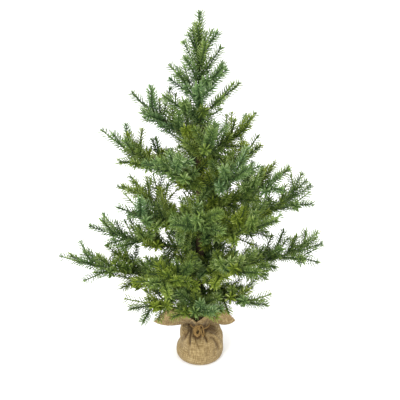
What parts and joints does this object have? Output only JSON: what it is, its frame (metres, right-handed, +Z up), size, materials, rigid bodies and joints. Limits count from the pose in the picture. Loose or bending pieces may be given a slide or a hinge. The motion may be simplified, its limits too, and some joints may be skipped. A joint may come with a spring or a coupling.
{
  "type": "artificial tabletop tree",
  "caption": "Small artificial spruce: bendable wire branches with moulded needle shoots on a wrapped trunk, in a weighted base tied up in burlap.",
  "frame": {"origin": "on the table, under the axis of the trunk", "axes": "+Z up along the trunk, -Y toward the front with the knot, +X to the right of the front"},
  "size_m": [0.6432, 0.5226, 0.9],
  "materials": {
    "burlap": "coarse plain weave",
    "twine": "twisted jute",
    "bark_wrap": "matt, ridged like bark",
    "steel_tube": "bare",
    "cement": "cast, rough",
    "pot_plastic": "moulded",
    "green_wire": "green film on steel wire",
    "binding_wire": "dull",
    "needles_a": "moulded, matt",
    "needles_b": "moulded, matt"
  },
  "bodies": {
    "base": {"ballast_block": "cement", "base_pot": "pot_plastic", "trunk_pole": "steel_tube", "trunk_wrap": "bark_wrap", "burlap_wrap": "burlap", "twine_tie": "twine", "branch_ties": "binding_wire", "leader_pin": "binding_wire"},
    "branch_01": {"branch_01_wire": "green_wire", "branch_01_shoots": "needles_a"},
    "branch_02": {"branch_02_wire": "green_wire", "branch_02_shoots": "needles_b"},
    "branch_03": {"branch_03_wire": "green_wire", "branch_03_shoots": "needles_a"},
    "branch_04": {"branch_04_wire": "green_wire", "branch_04_shoots": "needles_a"},
    "branch_05": {"branch_05_wire": "green_wire", "branch_05_shoots": "needles_b"},
    "branch_06": {"branch_06_wire": "green_wire", "branch_06_shoots": "needles_a"},
    "branch_07": {"branch_07_wire": "green_wire", "branch_07_shoots": "needles_a"},
    "branch_08": {"branch_08_wire": "green_wire", "branch_08_shoots": "needles_b"},
    "branch_09": {"branch_09_wire": "green_wire", "branch_09_shoots": "needles_a"},
    "branch_10": {"branch_10_wire": "green_wire", "branch_10_shoots": "needles_a"},
    "branch_11": {"branch_11_wire": "green_wire", "branch_11_shoots": "needles_b"},
    "branch_12": {"branch_12_wire": "green_wire", "branch_12_shoots": "needles_a"},
    "branch_13": {"branch_13_wire": "green_wire", "branch_13_shoots": "needles_a"},
    "branch_14": {"branch_14_wire": "green_wire", "branch_14_shoots": "needles_b"},
    "branch_15": {"branch_15_wire": "green_wire", "branch_15_shoots": "needles_a"},
    "branch_16": {"branch_16_wire": "green_wire", "branch_16_shoots": "needles_a"},
    "branch_17": {"branch_17_wire": "green_wire", "branch_17_shoots": "needles_b"},
    "branch_18": {"branch_18_wire": "green_wire", "branch_18_shoots": "needles_a"},
    "branch_19": {"branch_19_wire": "green_wire", "branch_19_shoots": "needles_a"},
    "branch_20": {"branch_20_wire": "green_wire", "branch_20_shoots": "needles_b"},
    "branch_21": {"branch_21_wire": "green_wire", "branch_21_shoots": "needles_a"},
    "branch_22": {"branch_22_wire": "green_wire", "branch_22_shoots": "needles_a"},
    "branch_23": {"branch_23_wire": "green_wire", "branch_23_shoots": "needles_b"},
    "branch_24": {"branch_24_wire": "green_wire", "branch_24_shoots": "needles_a"},
    "branch_25": {"branch_25_wire": "green_wire", "branch_25_shoots": "needles_a"},
    "leader": {"leader_wire": "green_wire", "leader_shoots": "needles_b"}
  },
  "joints": [
    {"name": "branch_01_bend", "type": "hinge", "parent": "base", "child": "branch_01", "pos_m": [-0.00086, -0.01227, 0.188], "axis": [-0.9976, 0.0698, 0], "range_deg": [-15, 13]},
    {"name": "branch_02_bend", "type": "hinge", "parent": "base", "child": "branch_02", "pos_m": [-0.00969, -0.00757, 0.196], "axis": [-0.6157, 0.788, 0], "range_deg": [-6, 14]},
    {"name": "branch_03_bend", "type": "hinge", "parent": "base", "child": "branch_03", "pos_m": [0.00969, -0.00757, 0.204], "axis": [-0.6157, -0.788, 0], "range_deg": [-15, 14]},
    {"name": "branch_04_bend", "type": "hinge", "parent": "base", "child": "branch_04", "pos_m": [-0.0123, 0.00021, 0.22], "axis": [0.0175, 0.9998, 0], "range_deg": [-12, 6]},
    {"name": "branch_05_bend", "type": "hinge", "parent": "base", "child": "branch_05", "pos_m": [-0.00086, 0.01227, 0.212], "axis": [0.9976, 0.0698, 0], "range_deg": [-15, 11]},
    {"name": "branch_06_bend", "type": "hinge", "parent": "base", "child": "branch_06", "pos_m": [0.0123, 0.00021, 0.252], "axis": [0.0175, -0.9998, 0], "range_deg": [-15, 11]},
    {"name": "branch_07_bend", "type": "hinge", "parent": "base", "child": "branch_07", "pos_m": [-0.00558, -0.01096, 0.264], "axis": [-0.891, 0.454, 0], "range_deg": [-9, 18]},
    {"name": "branch_08_bend", "type": "hinge", "parent": "base", "child": "branch_08", "pos_m": [0.00688, -0.0102, 0.282], "axis": [-0.829, -0.5592, 0], "range_deg": [-15, 9]},
    {"name": "branch_09_bend", "type": "hinge", "parent": "base", "child": "branch_09", "pos_m": [0.00652, 0.01043, 0.273], "axis": [0.848, -0.5299, 0], "range_deg": [-15, 10]},
    {"name": "branch_10_bend", "type": "hinge", "parent": "base", "child": "branch_10", "pos_m": [-0.01223, -0.00129, 0.312], "axis": [-0.1045, 0.9945, 0], "range_deg": [-14, 12]},
    {"name": "branch_11_bend", "type": "hinge", "parent": "base", "child": "branch_11", "pos_m": [0.01203, 0.00256, 0.33], "axis": [0.2079, -0.9781, 0], "range_deg": [-15, 8]},
    {"name": "branch_12_bend", "type": "hinge", "parent": "base", "child": "branch_12", "pos_m": [-0.00823, 0.00914, 0.321], "axis": [0.7431, 0.6691, 0], "range_deg": [-15, 12]},
    {"name": "branch_13_bend", "type": "hinge", "parent": "base", "child": "branch_13", "pos_m": [0.00969, -0.00757, 0.366], "axis": [-0.6157, -0.788, 0], "range_deg": [-14, 9]},
    {"name": "branch_14_bend", "type": "hinge", "parent": "base", "child": "branch_14", "pos_m": [0, 0.0123, 0.378], "axis": [1, 0, 0], "range_deg": [-15, 10]},
    {"name": "branch_15_bend", "type": "hinge", "parent": "base", "child": "branch_15", "pos_m": [-0.01065, -0.00615, 0.387], "axis": [-0.5, 0.866, 0], "range_deg": [-13, 18]},
    {"name": "branch_16_bend", "type": "hinge", "parent": "base", "child": "branch_16", "pos_m": [-0.00043, -0.01229, 0.396], "axis": [-0.9994, 0.0349, 0], "range_deg": [-15, 18]},
    {"name": "branch_17_bend", "type": "hinge", "parent": "base", "child": "branch_17", "pos_m": [0.01218, -0.00171, 0.42], "axis": [-0.1392, -0.9903, 0], "range_deg": [-12, 5]},
    {"name": "branch_18_bend", "type": "hinge", "parent": "base", "child": "branch_18", "pos_m": [0.00885, 0.00854, 0.448], "axis": [0.6947, -0.7193, 0], "range_deg": [-9, 9]},
    {"name": "branch_19_bend", "type": "hinge", "parent": "base", "child": "branch_19", "pos_m": [-0.01227, 0.00086, 0.482], "axis": [0.0698, 0.9976, 0], "range_deg": [-15, 15]},
    {"name": "branch_20_bend", "type": "hinge", "parent": "base", "child": "branch_20", "pos_m": [0.00791, -0.00942, 0.492], "axis": [-0.766, -0.6428, 0], "range_deg": [-6, 18]},
    {"name": "branch_21_bend", "type": "hinge", "parent": "base", "child": "branch_21", "pos_m": [-0.00688, -0.0102, 0.508], "axis": [-0.829, 0.5592, 0], "range_deg": [-15, 12]},
    {"name": "branch_22_bend", "type": "hinge", "parent": "base", "child": "branch_22", "pos_m": [-0.00298, 0.01193, 0.52], "axis": [0.9703, 0.2419, 0], "range_deg": [-15, 18]},
    {"name": "branch_23_bend", "type": "hinge", "parent": "base", "child": "branch_23", "pos_m": [0.01182, 0.00339, 0.552], "axis": [0.2756, -0.9613, 0], "range_deg": [-15, 18]},
    {"name": "branch_24_bend", "type": "hinge", "parent": "base", "child": "branch_24", "pos_m": [0.00298, -0.01193, 0.576], "axis": [-0.9703, -0.2419, 0], "range_deg": [-15, 18]},
    {"name": "branch_25_bend", "type": "hinge", "parent": "base", "child": "branch_25", "pos_m": [-0.01229, -0.00043, 0.606], "axis": [-0.0349, 0.9994, 0], "range_deg": [-15, 16]},
    {"name": "leader_tilt", "type": "hinge", "parent": "base", "child": "leader", "pos_m": [0, 0, 0.626], "axis": [0, 1, 0], "range_deg": [-12, 12]}
  ]
}
